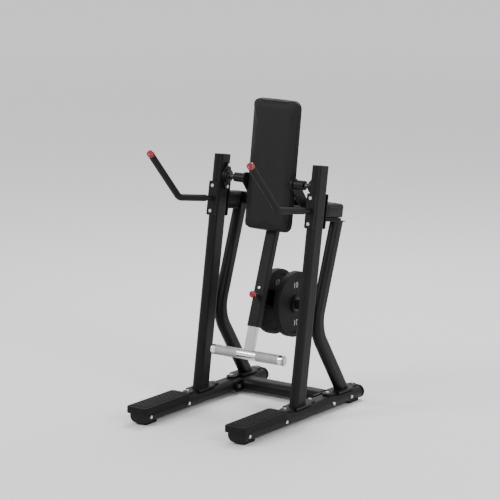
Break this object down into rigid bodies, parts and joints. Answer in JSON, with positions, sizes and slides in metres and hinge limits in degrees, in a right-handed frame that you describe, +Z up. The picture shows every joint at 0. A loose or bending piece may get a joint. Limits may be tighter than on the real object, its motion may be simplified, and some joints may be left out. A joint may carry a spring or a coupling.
{
  "type": "pendulum leg and core machine",
  "caption": "Standing plate-loaded pendulum machine: two side frames with footplates, handles and arm pads, and a swing arm with back pad and chrome foot bar.",
  "frame": {"origin": "middle of the machine's footprint, on the floor", "axes": "+X towards the machine's right side frame, -Y towards the footplates and handles, +Z up"},
  "size_m": [0.698, 1.038, 1.5102],
  "materials": {
    "black_powder_coat": "satin",
    "black_plastic": "matte",
    "footplate_plastic": "matte",
    "black_rubber": "matte",
    "bright_steel": "brushed",
    "blackened_steel": "black oxide",
    "black_leatherette": "satin",
    "pad_board": "painted",
    "red_plastic": "gloss",
    "chrome": "polished",
    "plate_coating": "rubber coated"
  },
  "bodies": {
    "frame": {"base_rail_left": "black_powder_coat", "base_rail_right": "black_powder_coat", "rail_end_caps_front": "black_plastic", "rail_end_caps_rear": "black_plastic", "floor_pads": "black_rubber", "footplate_left": "footplate_plastic", "footplate_right": "footplate_plastic", "rear_cross_member": "black_powder_coat", "rail_cross_bolts_left": "bright_steel", "rail_cross_bolts_right": "bright_steel", "upright_left": "black_powder_coat", "upright_right": "black_powder_coat", "upright_top_caps": "black_plastic", "rear_leg_left": "black_powder_coat", "rear_leg_right": "black_powder_coat", "base_bolts_left": "bright_steel", "base_bolts_right": "bright_steel", "arm_pad_bracket_left": "black_powder_coat", "arm_pad_bracket_right": "black_powder_coat", "arm_pad_board_left": "pad_board", "arm_pad_board_right": "pad_board", "arm_pad_left": "black_leatherette", "arm_pad_right": "black_leatherette", "upper_cross_beam": "black_powder_coat", "rest_stop": "black_rubber", "clamp_bolts_left": "bright_steel", "clamp_bolts_right": "bright_steel", "handle_left": "black_powder_coat", "handle_right": "black_powder_coat", "handle_grip_left": "black_rubber", "handle_grip_right": "black_rubber", "handle_cap_left": "red_plastic", "handle_cap_right": "red_plastic", "bearing_housing_left": "black_powder_coat", "bearing_housing_right": "black_powder_coat", "bearing_insert_left": "blackened_steel", "bearing_insert_right": "blackened_steel", "bearing_bolts_left": "bright_steel", "bearing_bolts_right": "bright_steel"},
    "swing": {"swing_yoke": "black_powder_coat", "pivot_shaft_left": "blackened_steel", "pivot_shaft_right": "blackened_steel", "swing_arm": "black_powder_coat", "arm_guide_bush": "black_plastic", "weight_horn": "blackened_steel", "horn_collar_left": "black_powder_coat", "horn_collar_right": "black_powder_coat", "pull_pin_body": "blackened_steel", "arm_bolt": "bright_steel", "back_pad_board": "pad_board", "back_pad": "black_leatherette"},
    "foot": {"foot_tube": "chrome", "foot_bar": "chrome", "foot_bar_caps": "chrome"},
    "pin": {"pull_pin_plunger": "bright_steel", "pull_pin_knob": "red_plastic"},
    "plate_left": {"weight_plate_left": "plate_coating", "weight_plate_hub_left": "blackened_steel"},
    "plate_right": {"weight_plate_right": "plate_coating", "weight_plate_hub_right": "blackened_steel"}
  },
  "joints": [
    {"name": "swing_pivot", "type": "hinge", "parent": "frame", "child": "swing", "pos_m": [0, 0.18502, 1.11529], "axis": [-1, 0, 0], "range_deg": [0, 55]},
    {"name": "foot_tube_slide", "type": "slide", "parent": "swing", "child": "foot", "axis": [0, -0.3387, -0.9409], "range_m": [-0.1, 0.1]},
    {"name": "pull_pin_slide", "type": "slide", "parent": "swing", "child": "pin", "axis": [0, -0.9409, 0.3387], "range_m": [-0.008, 0.004]},
    {"name": "plate_left_slide", "type": "slide", "parent": "swing", "child": "plate_left", "axis": [-1, 0, 0], "range_m": [0, 0.08]},
    {"name": "plate_right_slide", "type": "slide", "parent": "swing", "child": "plate_right", "axis": [1, 0, 0], "range_m": [0, 0.08]}
  ]
}
